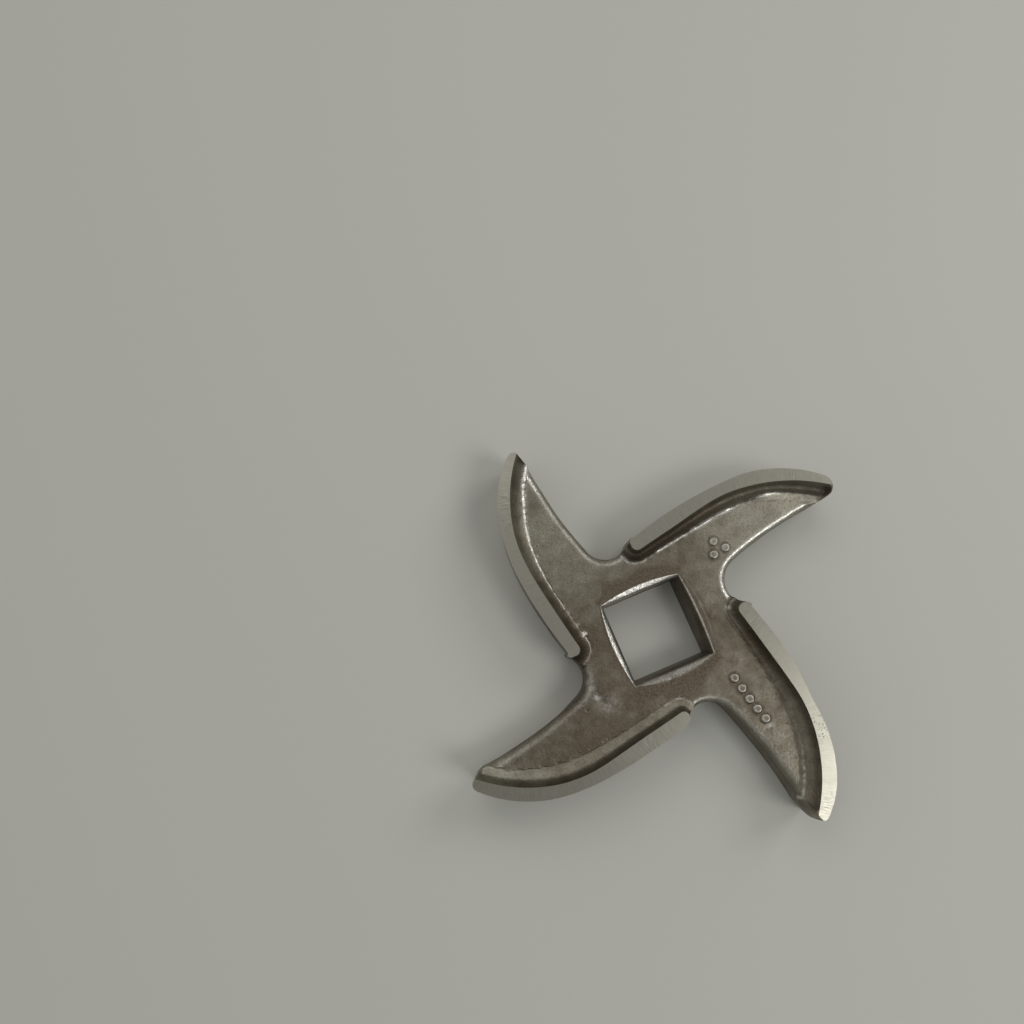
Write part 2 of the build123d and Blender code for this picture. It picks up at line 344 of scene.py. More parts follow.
def blended_joint(before, after, reach):
    """Two crossing curves cut where they meet and joined, with the corner smoothed over this reach."""
    stop, start = nearest_pair(before, after)
    joined = spaced(np.vstack([before[:stop + 1], after[start + 1:]]), CURVE_STEP)
    away = np.linalg.norm(joined - before[stop], axis=1)
    span = int(reach / CURVE_STEP)
    weights = np.hanning(2 * span + 3)[1:-1]
    weights /= weights.sum()
    padded = np.pad(joined, ((span, span), (0, 0)), "edge")
    smooth = np.column_stack([np.convolve(padded[:, k], weights, "valid") for k in (0, 1)])
    share = np.clip((2.5 * reach - away) / reach, 0, 1) * np.clip(np.arange(len(joined)) / span, 0, 1)
    share = share[:, None]
    return joined * (1 - share) + smooth * share


def rounded_joint(before, after, radius):
    """Two curves joined by a round of this radius, with its centre on their left."""
    inner_before = before + left_normals(before) * radius
    inner_after = after + left_normals(after) * radius
    stop, start = nearest_pair(inner_before, inner_after)
    centre = (inner_before[stop] + inner_after[start]) / 2
    first = direction(before[stop] - centre)
    sweep = (direction(after[start] - centre) - first + 180) % 360 - 180
    return np.vstack([before[:stop], arc(centre, radius, first, first + sweep), after[start + 1:]])


# --- Plan of the casting ---


def at_stations(values, along):
    """Values given at the stations, blended along the arm."""
    return np.interp(along, STATIONS, values)


def swayed(curve, values):
    """A curve moved to its left by values given at the stations, without kinks."""
    shift = at_stations(values, curve[:, 0])
    span = int(4 / CURVE_STEP)
    padded = np.pad(shift, span, "edge")
    weights = np.hanning(2 * span + 1)
    smooth = np.convolve(padded, weights / weights.sum(), "valid")
    return curve + left_normals(curve) * smooth[:, None]


GULLET_CENTRE = polar(GULLET_BOTTOM + GULLET_RADIUS, GULLET_ANGLE)
GULLET_EXIT = GULLET_CENTRE + polar(GULLET_RADIUS, GULLET_EXIT_ANGLE)
GULLET_ENTRY = GULLET_CENTRE + polar(GULLET_RADIUS, GULLET_ENTRY_ANGLE)
SHOULDER = turned(GULLET_ENTRY[None], 90)[0]


def nose_start(form):
    """Centre of the nose, and the direction and point at which the leading edge runs into it."""
    radius = form["nose"]
    centre = polar(form["swing"] - radius, form["tip"])
    reach = centre - CROWN
    edge_radius = (reach @ reach - radius**2) / (-2 * (reach[1] + radius))
    angle = direction(reach + [0, edge_radius])
    return centre, angle, centre + polar(radius, angle)


def arm_edge(form):
    """Leading edge from the shoulder round the nose to the heel, and the back edge with its gullet."""
    centre, angle, edge_end = nose_start(form)
    leading = swayed(np.vstack([
        tangent_arc(CROWN, SHOULDER, 180)[::-1],
        tangent_arc(CROWN, edge_end, 0)[1:],
    ]), form["leading"])
    nose = arc(centre, form["nose"], angle, TIP_FACE_ANGLE - 90)[1:]
    nose += leading[-1] - edge_end
    face = line(nose[-1], nose[-1] - polar(2 * TIP_FACE_LENGTH, TIP_FACE_ANGLE))[1:]
    heel = polar(SWING_RADIUS - NOSE_RADIUS, TIP_ANGLE) + polar(NOSE_RADIUS, TIP_FACE_ANGLE - 90)
    heel = heel - polar(TIP_FACE_LENGTH, TIP_FACE_ANGLE)
    trailing = tangent_arc(GULLET_EXIT, heel, GULLET_EXIT_ANGLE - 90)
    heading = direction(trailing[-1] - trailing[-2])
    trailing = np.vstack([trailing, line(heel, heel + polar(TIP_FACE_LENGTH, heading))[1:]])[::-1]
    gullet = arc(GULLET_CENTRE, GULLET_RADIUS, GULLET_EXIT_ANGLE, GULLET_ENTRY_ANGLE)
    back = swayed(np.vstack([trailing, gullet[1:]]), form["back"])
    return np.vstack([leading, blended_joint(np.vstack([nose, face]), back, form["heel"])])


def arm_crest(form):
    """Inner edge of the land, from its round end over the waist and past the tip."""
    _, angle, edge_end = nose_start(form)
    root = SHOULDER - [LAND_OVERHANG, LAND_ROOT_WIDTH]
    tip = edge_end - polar(LAND_TIP_WIDTH, angle)
    chord = tip - CREST_WAIST
    radius = chord @ chord / (-2 * chord[1])
    turn = arc(CREST_WAIST - [0, radius], radius, 90, 90 + CREST_TURN_ANGLE)
    flat = tangent_arc(turn[-1], root, 180 + CREST_TURN_ANGLE)
    outer = tangent_arc(CREST_WAIST, tip, 0)
    run_off = line(tip, tip + polar(5, 2 * direction(chord)))
    crest = swayed(np.vstack([flat[::-1], turn[::-1][1:], outer[1:], run_off[1:]]), form["crest"])
    end_line = line(crest[0] + [0, 5], crest[0])
    return rounded_joint(end_line, crest, LAND_END_RADIUS)


def whole_outline(edges):
    """Outer edge of the plan, clockwise and closed, from the edges of the arms in that order."""
    quarter = len(edges[0]) // 4
    outline = []
    for edge, following in zip(edges, edges[1:] + edges[:1]):
        middle = len(edge) // 2
        outline.append(edge[quarter:middle])
        outline.append(rounded_joint(edge[middle:], following[:quarter], SHOULDER_RADIUS))
    return np.vstack(outline)


CLOCKWISE = (0, 3, 2, 1)
OWN_CRESTS = [arm_crest(form) for form in ARM_FORMS]
CRESTS = [turned(crest, form["turn"]) for crest, form in zip(OWN_CRESTS, ARM_FORMS)]
EDGES = [turned(arm_edge(form), form["turn"]) for form in ARM_FORMS]
BACKS = [edge[np.linalg.norm(edge, axis=1).argmax():] for edge in EDGES]
OUTLINE = spaced(whole_outline([EDGES[k] for k in CLOCKWISE]), EDGE_STEP)


def mouth_flare(along, side):
    """Width of the bell mouth beside the square, at this distance from the middle of a side."""
    corner = SQUARE_SIDE / 2 + MOUTH_CORNER_FLARE
    share = np.clip(np.abs(along) / corner, 0, 1) ** 2
    middle = np.array(MOUTH_MIDDLE_FLARES)[side]
    return middle + (MOUTH_CORNER_FLARE - middle) * share


def mouth_ring(share):
    """Closed curve round the hole, from the square (0) to the rim of the bell mouth (1) and past it."""
    half = SQUARE_SIDE / 2
    reach = half + MOUTH_CORNER_FLARE * share
    along = np.arange(-reach, reach, EDGE_STEP)
    return np.vstack([
        turned(np.column_stack([half + mouth_flare(along, side) * share, along]), 90 * side)
        for side in range(4)
    ])


# --- Measuring in the plan ---


def point_tree(points):
    tree = KDTree(len(points))
    for k, point in enumerate(points):
        tree.insert((*point, 0), k)
    tree.balance()
    return tree


class Track:
    """A set of curves to measure from: distance, side, and place along the curve."""

    def __init__(self, curves):
        self.points = np.vstack(curves)
        self.normals = np.vstack([left_normals(curve) for curve in curves])
        self.number = np.concatenate([np.full(len(curve), k) for k, curve in enumerate(curves)])
        self.along = np.concatenate([np.arange(len(curve)) * CURVE_STEP for curve in curves])
        self.tree = point_tree(self.points)

    def measure(self, points):
        """Signed distance, positive on the right of the curve, and the nearest curve point's index."""
        nearest = np.array([self.tree.find((x, y, 0))[1] for x, y in points], int)
        away = points - self.points[nearest]
        side = np.einsum("ij,ij->i", away, self.normals[nearest])
        distance = np.linalg.norm(away, axis=1)
        return np.where(distance < 1, -side, -np.sign(side) * distance), nearest


CREST = Track(CRESTS)
CREST_ALONG = np.concatenate([crest[:, 0] for crest in OWN_CRESTS])
BACK = Track(BACKS)
RIM = Track([spaced(np.vstack([OUTLINE, OUTLINE[:1]]), CURVE_STEP)])


def of_arm(name, arms):
    """A value that each arm gives once, for these arm numbers."""
    return np.array([form[name] for form in ARM_FORMS])[arms]


def along_arm(name, arms, along):
    """A value that the arms give at their stations, for these arm numbers and places along them."""
    result = np.zeros(len(along))
    for number, form in enumerate(ARM_FORMS):
        own = arms == number
        result[own] = at_stations(form.get(name, NOWHERE), along[own])
    return result


class Place:
    """Where points lie in the plan: their arm, and how far they are from what shapes the surface."""

    def __init__(self, points):
        self.points = points
        self.reach = np.linalg.norm(points, axis=1)
        self.from_crest, self.crest_index = CREST.measure(points)
        self.arm = CREST.number[self.crest_index]
        self.along = CREST_ALONG[self.crest_index]
        self.cove = along_arm("cove", self.arm, self.along)
        self.share = self.from_crest / self.cove
        from_back, back_index = BACK.measure(points)
        self.from_back = np.abs(from_back)
        self.back_arm = BACK.number[back_index]
        self.rounding = of_arm("rounding", self.back_arm)
        self.back_share = self.from_back / self.rounding
        self.bearing = np.degrees(np.arctan2(points[:, 1], points[:, 0]))
        self.side = np.round(self.bearing / 90).astype(int) % 4
        beside_square = np.abs(points).max(axis=1) - SQUARE_SIDE / 2
        self.opening = beside_square / mouth_flare(np.abs(points).min(axis=1), self.side)


def smooth_step(value, low, high):
    share = np.clip((value - low) / (high - low), 0, 1)
    return share * share * (3 - 2 * share)


def bell(value, middle, width):
    """Bell curve, 1 at its middle."""
    return np.exp(-((value - middle) / width) ** 2)


def waves(points, wavelength, seed, count=40):
    """Smooth random field of about unit size, with this wavelength."""
    random = np.random.default_rng(seed)
    angle = random.uniform(0, 2 * np.pi, count)
    number = 2 * np.pi / (wavelength * random.uniform(0.7, 1.4, count))
    phase = random.uniform(0, 2 * np.pi, count)
    field = np.zeros(len(points))
    for heading, rate, start in zip(angle, number, phase):
        field += np.cos(points @ np.array([np.cos(heading), np.sin(heading)]) * rate + start)
    return field * np.sqrt(2 / count)


def uneven(points, layers, base=0.0):
    """A base value with wave fields on it, each given by its size, wavelength and seed."""
    return sum((size * waves(points, wavelength, seed) for size, wavelength, seed in layers), base)


# --- Heights ---


def section(slopes, share):
    """Height left, from 1 down to 0, at these shares of a slope's width."""
    stations = np.linspace(0, 1, 201)
    steepness = np.tan(np.radians(np.interp(stations, *np.transpose(slopes))))
    fallen = np.r_[0, np.cumsum((steepness[1:] + steepness[:-1]) / 2)]
    return np.interp(share, stations, 1 - fallen / fallen[-1])


def strewn_flaws():
    """Small lumps and pits along the feet of the coves."""
    flaws = []
    for number in RANDOM.integers(0, 4, SPECKS):
        crest = CRESTS[number]
        place = RANDOM.integers(40, len(crest) - 160)
        foot = at_stations(ARM_FORMS[number]["cove"], OWN_CRESTS[number][place, 0])
        spot = crest[place] - left_normals(crest)[place] * (foot + RANDOM.normal(0.25, 0.5))
        radius = RANDOM.uniform(0.1, 0.2)
        flaws.append((*spot, radius, radius * RANDOM.choice((0.5, -0.5))))
    return flaws


ALL_FLAWS = list(FLAWS) + strewn_flaws()


def surface_detail(points):
    """Height that pips, flaws and the dent add, and how near each point lies to a pip's foot and rim."""
    added, foot, rim = np.zeros((3, len(points)))
    for x, y in PIPS:
        away = np.hypot(points[:, 0] - x, points[:, 1] - y)
        added += PIP_RISE * (1 - smooth_step(away, 0.7 * PIP_RADIUS, 1.15 * PIP_RADIUS))
        foot += bell(away, 1.2 * PIP_RADIUS, 0.18)
        rim += bell(away, 0.75 * PIP_RADIUS, 0.16)
    for x, y, radius, rise in ALL_FLAWS:
        away = (points[:, 0] - x) ** 2 + (points[:, 1] - y) ** 2
        near = away < 9 * radius**2
        added[near] += rise * np.exp(-away[near] / radius**2)
    x, y, half_width, half_length, depth = DENT
    across = (points[:, 0] - x) * 0.86 + (points[:, 1] - y) * 0.5
    along = (points[:, 1] - y) * 0.86 - (points[:, 0] - x) * 0.5
    added -= depth * np.exp(-((across / half_width) ** 2 + (along / half_length) ** 2))
    return added, foot, rim


def outer_share(place):
    """How far a cove has changed over to its arm's outer section."""
    has_outer = np.array(["outer_section" in form for form in ARM_FORMS])
    return smooth_step(place.along, *CHANGE_OVER) * has_outer[place.arm]


def foot_step(place):
    """Depth of the small step at the foot of the cove."""
    edge = uneven(place.points, FOOT_WAVES, place.share)
    return FOOT_STEP * (1 - smooth_step((edge - 1) * place.cove, 0, FOOT_STEP_WIDTH)) * (place.share < 2)


def cove_rise(place):
    """Height of the cove above the web."""
    rise = np.zeros(len(place.points))
    changed = outer_share(place)
    for number, form in enumerate(ARM_FORMS):
        own = place.arm == number
        left = section(form["section"], place.share[own])
        outer_left = section(form.get("outer_section", form["section"]), place.share[own])
        rise[own] = (LAND - WEB) * (left + (outer_left - left) * changed[own])
    return rise


def rounded_away(place):
    """Depth that the rounding of the back edge takes away."""
    radius = place.rounding * smooth_step(place.share, 0.8, 1.25) + 1e-6
    near = np.clip(radius - place.from_back, 0, radius)
    return radius - np.sqrt(np.maximum(radius**2 - near**2, 0))


def add_end_rims(place, height):
    """Raise the heights to the rims left standing round the open ends of the coves."""
    ends = np.flatnonzero((place.reach > SWING_RADIUS - 6) & (place.from_crest > 0) & (place.share < 1))
    from_rim = np.abs(RIM.measure(place.points[ends])[0])
    swing = of_arm("swing", place.arm[ends])
    lift = of_arm("end_rim", place.arm[ends]) * (1 - smooth_step(from_rim, *RIM_WIDTH))
    lift *= 1 - smooth_step(place.share[ends], 0.35, 0.9)
    lift *= smooth_step(place.reach[ends], swing - RIM_LENGTH[0], swing - RIM_LENGTH[1])
    height[ends] = np.minimum(height[ends] + lift, np.maximum(height[ends], LAND - RIM_BELOW_LAND))


def mouth_fall(place):
    """Depth of the bell mouth."""
    fall = np.zeros(len(place.points))
    for number, slopes in enumerate(MOUTH_SLOPES):
        own = place.side == number
        fall[own] = MOUTH_DEPTH * (1 - section(slopes, 1 - place.opening[own]))
    return fall


def heights(place):
    """Height of the upper surface."""
    height = WEB + uneven(place.points, SKIN_WAVES) + surface_detail(place.points)[0]
    height -= foot_step(place)
    height += cove_rise(place)
    height -= rounded_away(place)
    add_end_rims(place, height)
    height -= mouth_fall(place)
    height -= MOUTH_HALO * bell(place.opening, 1.35, 0.3)
    height -= MOUTH_GROOVE * bell(place.opening, 2.15, 0.22) * (place.side == 0)
    ground = LAND - 0.003 + uneven(place.points, LAND_WAVES)
    return np.where(place.from_crest <= ON_CREST, ground, height)


def wall_shape(place):
    """How far a wall's foot stands out past its upper edge, and how far its middle swells out."""
    lean = of_arm("lean", place.back_arm) * (1 - smooth_step(place.from_back, 0.3, 1.5))
    lean = lean * smooth_step(place.reach, *LEAN_FROM) * (1 - smooth_step(place.reach, *LEAN_TO))
    bulge = of_arm("bulge", place.back_arm) * (1 - smooth_step(place.from_back, 0.3, 2))
    return lean, bulge * smooth_step(place.reach, *BULGE_FROM)


# --- Points of the upper surface ---


def thinned(points, gap, taken=()):
    """The points that stand at least this far from those kept before them."""
    kept = {}
    result = []

    def crowded(x, y, cell):
        near = (kept.get((cell[0] + i, cell[1] + j), ()) for i in (-1, 0, 1) for j in (-1, 0, 1))
        return any((p - x) ** 2 + (q - y) ** 2 < gap * gap for group in near for p, q in group)

    for x, y in taken:
        kept.setdefault((int(x // gap), int(y // gap)), []).append((x, y))
    for x, y in points:
        cell = (int(x // gap), int(y // gap))
        if not crowded(x, y, cell):
            kept.setdefault(cell, []).append((x, y))
            result.append((x, y))
    return np.array(result)


def detail_points():
    """Extra points where the pips and flaws need a finer mesh."""
    spots = []
    for x, y in PIPS:
        for share in PIP_RINGS:
            turns = np.linspace(0, 2 * np.pi, PIP_RING_POINTS, endpoint=False) + share
            ring = np.column_stack([np.cos(turns), np.sin(turns)])
            spots.append(np.array([x, y]) + share * PIP_RADIUS * ring)
    for x, y, radius, _ in ALL_FLAWS:
        axis = np.arange(-2, 2.01, 0.4) * radius
        spots.append(np.array([(x + u, y + v) for u in axis for v in axis]))
    spots = np.vstack(spots)
    place = Place(spots)
    return spots[(RIM.measure(spots)[0] > 0.05) & (place.from_crest > 0.05) & (place.opening > 0.05)]


def cove_points():
    """Rings of points beside the crests."""
    rings = []
    for crest in CRESTS:
        spread = spaced(crest, EDGE_STEP)
        width = Place(spread).cove
        for ring in COVE_RINGS:
            rings.append(spread - left_normals(spread) * (width * ring)[:, None])
    points = np.vstack(rings)
    points = points[RIM.measure(points)[0] > 0.03]
    return points[CREST.measure(points)[0] > 0.02]


def rounding_points(taken):
    """Rings of points along the rounded back edges, clear of the points taken already."""
    rings = []
    for back, form in zip(BACKS, ARM_FORMS):
        spread = spaced(back, EDGE_STEP)
        for ring in ROUNDING_RINGS:
            rings.append(spread - left_normals(spread) * ring * form["rounding"])
    points = np.vstack(rings)
    points = points[RIM.measure(points)[0] > 0.02]
    points = points[Place(points).share > 0.75]
    return thinned(points, 0.09, taken)


def open_face_points(detail):
    """A jittered grid of points on the lands and on the open parts of the web."""
    reach = SWING_RADIUS + 1
    columns = np.arange(-reach, reach, GRID_STEP)
    rows = np.arange(-reach, reach, GRID_STEP * np.sqrt(3) / 2)
    grid = np.array([(x + (k % 2) * GRID_STEP / 2, y) for k, y in enumerate(rows) for x in columns])
    grid = grid[np.linalg.norm(grid, axis=1) < SWING_RADIUS]
    grid = grid[RIM.measure(grid)[0] > GRID_STEP / 2]
    grid += RANDOM.uniform(-GRID_JITTER, GRID_JITTER, grid.shape)
    place = Place(grid)
    open_web = (place.back_share > ROUNDING_RINGS[-1]) & (place.opening > MOUTH_RINGS[-1])
    open_web &= place.share > COVE_RINGS[-1]
    grid = grid[open_web | (place.from_crest < -0.15)]
    crowd = point_tree(detail)
    return np.array([point for point in grid if crowd.find((*point, 0))[2] > DETAIL_GAP])


def index_pairs(loops, curves=()):
    """Edges along closed loops and then along open curves, as pairs of point numbers."""
    edges = []
    first = 0
    for number, curve in enumerate([*loops, *curves]):
        edges += [(first + k, first + k + 1) for k in range(len(curve) - 1)]
        if number < len(loops):
            edges.append((first + len(curve) - 1, first))
        first += len(curve)
    return edges


def surface_points():
    """Points for the upper surface, and the edges that it must have as index pairs."""
    loops = [OUTLINE, mouth_ring(0.0)]
    crests = [spaced(crest, EDGE_STEP) for crest in CRESTS]
    detail = detail_points()
    cove = cove_points()
    rounding = rounding_points(cove)
    mouth = np.vstack([mouth_ring(share) for share in MOUTH_RINGS])
    free = thinned(np.vstack([detail, cove, rounding, mouth, open_face_points(detail)]), 0.05)
    return np.vstack(loops + crests + [free]), index_pairs(loops, crests)


# --- Mesh ---


def boundary_loops(faces):
    """Closed loops of vertex numbers along the free edges of a set of triangles."""
    directed = {(a, b) for face in faces for a, b in zip(face, face[1:] + face[:1])}
    after = {a: b for a, b in directed if (b, a) not in directed}
    loops = []
    while after:
        here = next(iter(after))
        loops.append([])
        while here in after:
            loops[-1].append(here)
            here = after.pop(here)
    return sorted(loops, key=len, reverse=True)


def doubled_areas(flat, faces):
    """Twice the area of triangles, positive where they run counter-clockwise."""
    a, b, c = (flat[faces[:, k]] for k in range(3))
    return (b[:, 0] - a[:, 0]) * (c[:, 1] - a[:, 1]) - (b[:, 1] - a[:, 1]) * (c[:, 0] - a[:, 0])


def inside(points, polygon):
    """Which points lie inside a closed polygon."""
    within = np.zeros(len(points), bool)
    for (x0, y0), (x1, y1) in zip(polygon, np.roll(polygon, -1, axis=0)):
        if y0 == y1:
            continue
        beside = (points[:, 1] < max(y0, y1)) & (points[:, 1] >= min(y0, y1))
        crossing = x0 + (points[:, 1] - y0) * (x1 - x0) / (y1 - y0)
        within ^= beside & (points[:, 0] < crossing)
    return within


def triangulated(points, edges, tolerance):
    """Points, triangles, middles of the triangles, and the given points that each point stands for."""
    found = delaunay_2d_cdt([Vector(point) for point in points], edges, [], 0, tolerance)
    flat = np.array([tuple(point) for point in found[0]])
    faces = np.array(found[2])
    return flat, faces, flat[faces].mean(axis=1), found[3]


class Shell:
    """Vertices and faces of the casting, as they are added."""

    def __init__(self):
        self.blocks = []
        self.faces = []
        self.count = 0

    def add(self, flat, level):
        """Add vertices over these plan positions, and give their numbers."""
        self.blocks.append(np.column_stack([flat, np.broadcast_to(level, len(flat))]))
        self.count += len(flat)
        return np.arange(self.count - len(flat), self.count)


def add_top(shell):
    """Upper surface. Gives the loops round its outline and hole, and its distances from the crest."""
    flat, faces, middle, _ = triangulated(*surface_points(), 1e-5)
    faces = faces[inside(middle, OUTLINE) & (np.abs(middle).max(axis=1) > SQUARE_SIDE / 2)]
    area = doubled_areas(flat, faces)
    faces[area < 0] = faces[area < 0][:, ::-1]
    faces = faces[np.abs(area) > SLIVER]
    used, compact = np.unique(faces, return_inverse=True)
    place = Place(flat[used])
    shell.add(flat[used], heights(place))
    shell.faces += [tuple(face) for face in compact.reshape(-1, 3).tolist()]
    return boundary_loops(shell.faces)[:2], place.from_crest


def add_wall(shell, loop, leans):
    """Wall from a loop of the upper surface down to the back. Gives its last ring and the numbers."""
    rim = shell.blocks[0][loop]
    flat = rim[:, :2]
    top = rim[:, 2]
    inwards = left_normals(np.vstack([flat[-1:], flat, flat[:1]]))[1:-1]
    lean, bulge = wall_shape(Place(flat)) if leans else (0.0, 0.0)
    above = np.array(loop)
    for row in range(1, WALL_ROWS + BREAK_ROWS + 1):
        if row <= WALL_ROWS:
            share = row / WALL_ROWS
            level = top * (1 - share) + BOTTOM_BREAK * share
            inset = 0.0
        else:
            swing = radians(90 / BREAK_ROWS * (row - WALL_ROWS))
            level = BOTTOM_BREAK * (1 - np.sin(swing))
            inset = BOTTOM_BREAK * (1 - np.cos(swing))
        left = level / top
        outset = lean * (1 - left) + 4 * bulge * left * (1 - left) - inset
        ring = flat - inwards * outset[:, None]
        here = shell.add(ring, level)
        for a, b, c, d in zip(above, np.roll(above, -1), np.roll(here, -1), here):
            shell.faces.append((int(a), int(d), int(c), int(b)))
        above = here
    return ring, above


def add_back(shell, rings, numbers):
    """Flat back between the last ring of the outer wall and the last ring of the hole."""
    axis = np.arange(-SWING_RADIUS, SWING_RADIUS, BACK_GRID_STEP)
    grid = np.array([(x, y) for x in axis for y in axis])
    grid += RANDOM.uniform(-BACK_GRID_JITTER, BACK_GRID_JITTER, grid.shape)
    clear_of_hole = np.abs(grid).max(axis=1) > SQUARE_SIDE / 2 + BACK_MARGIN
    grid = grid[(RIM.measure(grid)[0] > BACK_MARGIN) & clear_of_hole]
    flat, faces, middle, sources = triangulated(np.vstack(rings + [grid]), index_pairs(rings), 1e-6)
    faces = faces[inside(middle, rings[0]) & ~inside(middle, rings[1])]
    given = np.concatenate(numbers + [shell.add(grid, 0.0)])
    vertex = []
    for point, group in zip(flat, sources):
        vertex.append(int(given[group[0]] if group else shell.add(point[None], 0.0)[0]))
    for face, area in zip(faces, doubled_areas(flat, faces)):
        if abs(area) > SLIVER:
            corners = tuple(vertex[k] for k in face)
            shell.faces.append(corners[::-1] if area > 0 else corners)


def new_object(name, data):
    """New object in the scene."""
    created = bpy.data.objects.new(name, data)
    bpy.context.scene.collection.objects.link(created)
    return created


shell = Shell()
(outer_loop, hole_loop), from_crest = add_top(shell)
outer_ring, outer_numbers = add_wall(shell, outer_loop, leans=True)
hole_ring, hole_numbers = add_wall(shell, hole_loop, leans=False)
add_back(shell, [outer_ring, hole_ring], [outer_numbers, hole_numbers])
vertices = np.vstack(shell.blocks)

mesh = bpy.data.meshes.new("knife_casting")
mesh.from_pydata((vertices * MM).tolist(), [], shell.faces)
mesh.validate()
mesh.update()
mesh.polygons.foreach_set("use_smooth", [True] * len(mesh.polygons))
mesh.set_sharp_from_angle(angle=radians(SHARP_ANGLE))
knife = new_object("knife_casting", mesh)
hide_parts("grinder_knife")
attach(knife, "root")

# Faces of the lands take the second material
for polygon in mesh.polygons:
    corners = list(polygon.vertices)
    if max(corners) < len(from_crest) and all(from_crest[corner] <= ON_CREST for corner in corners):
        polygon.material_index = 1

# --- Surface values for the materials ---


def spots(points, places):
    """Sum of soft round spots, each given by its x, y, radius and strength."""
    field = np.zeros(len(points))
    for x, y, radius, strength in places:
        field += strength * np.exp(-((points[:, 0] - x) ** 2 + (points[:, 1] - y) ** 2) / radius**2)
    return field


def stain_and_shade_values(place, level):
    """Brown stain of the cast skin, with painted shade in the coves, round the walls and at the feet of the
    pips: 0 where it is clean, 1 or more where it is dark.
    """
    points = place.points
    sector = np.round((place.bearing - ARM_MIDDLE) / 90).astype(int) % 4
    stain_and_shade = np.zeros(len(points))
    for number, form in enumerate(ARM_FORMS):
        x, y = turned(points, -form["turn"]).T
        on_arm = np.clip((x - np.abs(y - 8)) / 12 + 0.5, 0, 1)
        part = at_stations(form["stain_and_shade"], x) * on_arm + HUB_STAIN * (1 - on_arm)
        stain_and_shade[sector == number] = part[sector == number]
    stain_and_shade += uneven(points, STAIN_WAVES)
    # Painted shade down the coves from the crest, and painted light where an arm's value is below zero
    cove_shade_to = 0.9 - TERRACE_SHARE * outer_share(place)
    cove_shade_and_light = of_arm("cove_shade_and_light", place.arm) * smooth_step(level, LOWEST_WEAR_AND_HIGHLIGHT, WEB - 0.5)
    cove_shade_and_light *= smooth_step(place.share, 0.0, 0.15)
    stain_and_shade += cove_shade_and_light * (1 - smooth_step(place.share, cove_shade_to, cove_shade_to + 0.15))
    # A darker ring round the bell mouth, and painted shade at the feet of the pips
    stain_and_shade += 0.35 * bell(place.opening, 1.35, 0.4) + 0.5 * surface_detail(points)[1]
    stain_and_shade += 0.4 * bell(place.opening, 2.2, 1.2) * (np.abs(points[:, 1]) > np.abs(points[:, 0]))
    # Painted shade in a band round the walls
    stain_and_shade += 0.4 * bell(level + uneven(points, BAND_WAVES), WALL_BAND_LEVEL, 1.2)
    return np.clip(stain_and_shade, 0, 1.3)


def wear_and_highlight_values(place, level):
    """Bright wear of the cast skin and painted highlights: both on the bell mouth, pips, back edges and
    rubbed spots, painted highlights only at the feet and ledges of the coves.
    """
    points = place.points
    # Wear and painted highlight on the bell mouth
    bright_to = np.array(MOUTH_BRIGHT_TO)[place.side]
    wear_and_highlight = smooth_step(place.opening, bright_to - 0.15, bright_to) * (1 - smooth_step(place.opening, 0.98, 1.08))
    wear_and_highlight *= np.array(MOUTH_WEAR_AND_HIGHLIGHT)[place.side]
    # Wear and painted highlight on the rims of the pips
    wear_and_highlight += 0.7 * surface_detail(points)[2]
    # Wear and painted highlight in a stripe along the rounded back edges
    edge_wear_and_highlight = along_arm("edge_wear_and_highlight", place.back_arm, place.reach)
    wear_and_highlight += edge_wear_and_highlight * bell(place.back_share, 0.58, 0.31) * (place.share > 1.1)
    broken = np.clip(uneven(points, WEAR_AND_HIGHLIGHT_WAVES, 0.65), 0.1, 1)
    # Painted highlight along the feet of the coves
    foot_highlight = along_arm("foot_highlight", place.arm, place.along)
    foot = 0.96 - TERRACE_SHARE * outer_share(place)
    wear_and_highlight += broken * foot_highlight * bell(place.share, foot, 0.04 + 0.05 * foot_highlight)
    # Painted highlight on the ledge in a cove
    wear_and_highlight += broken * along_arm("ledge_highlight", place.arm, place.along) * bell(place.share, 0.7, 0.07)
    # Rubbed spots with painted glints on the lumps and in the dent by the hub
    wear_and_highlight += broken * spots(points, RUBBED_AND_GLINTS)
    return np.clip(wear_and_highlight * (level > LOWEST_WEAR_AND_HIGHLIGHT), 0, 1)


place = Place(vertices[:, :2])
SURFACE_VALUES = {
    "stain_and_shade": stain_and_shade_values(place, vertices[:, 2]),
    "wear_and_highlight": wear_and_highlight_values(place, vertices[:, 2]),
    "along": CREST.along[place.crest_index] * MM,
    "across": place.from_crest * MM,
    "arm": place.arm / 3,
    "land_tone": along_arm("land_tone", place.arm, place.along),
    "scored": spots(place.points, SCORED),
    "pitted": spots(place.points, PITTED),
}
for name, field in SURFACE_VALUES.items():
    mesh.attributes.new(name, "FLOAT", "POINT").data.foreach_set("value", field.astype(np.float32))

# --- Materials ---


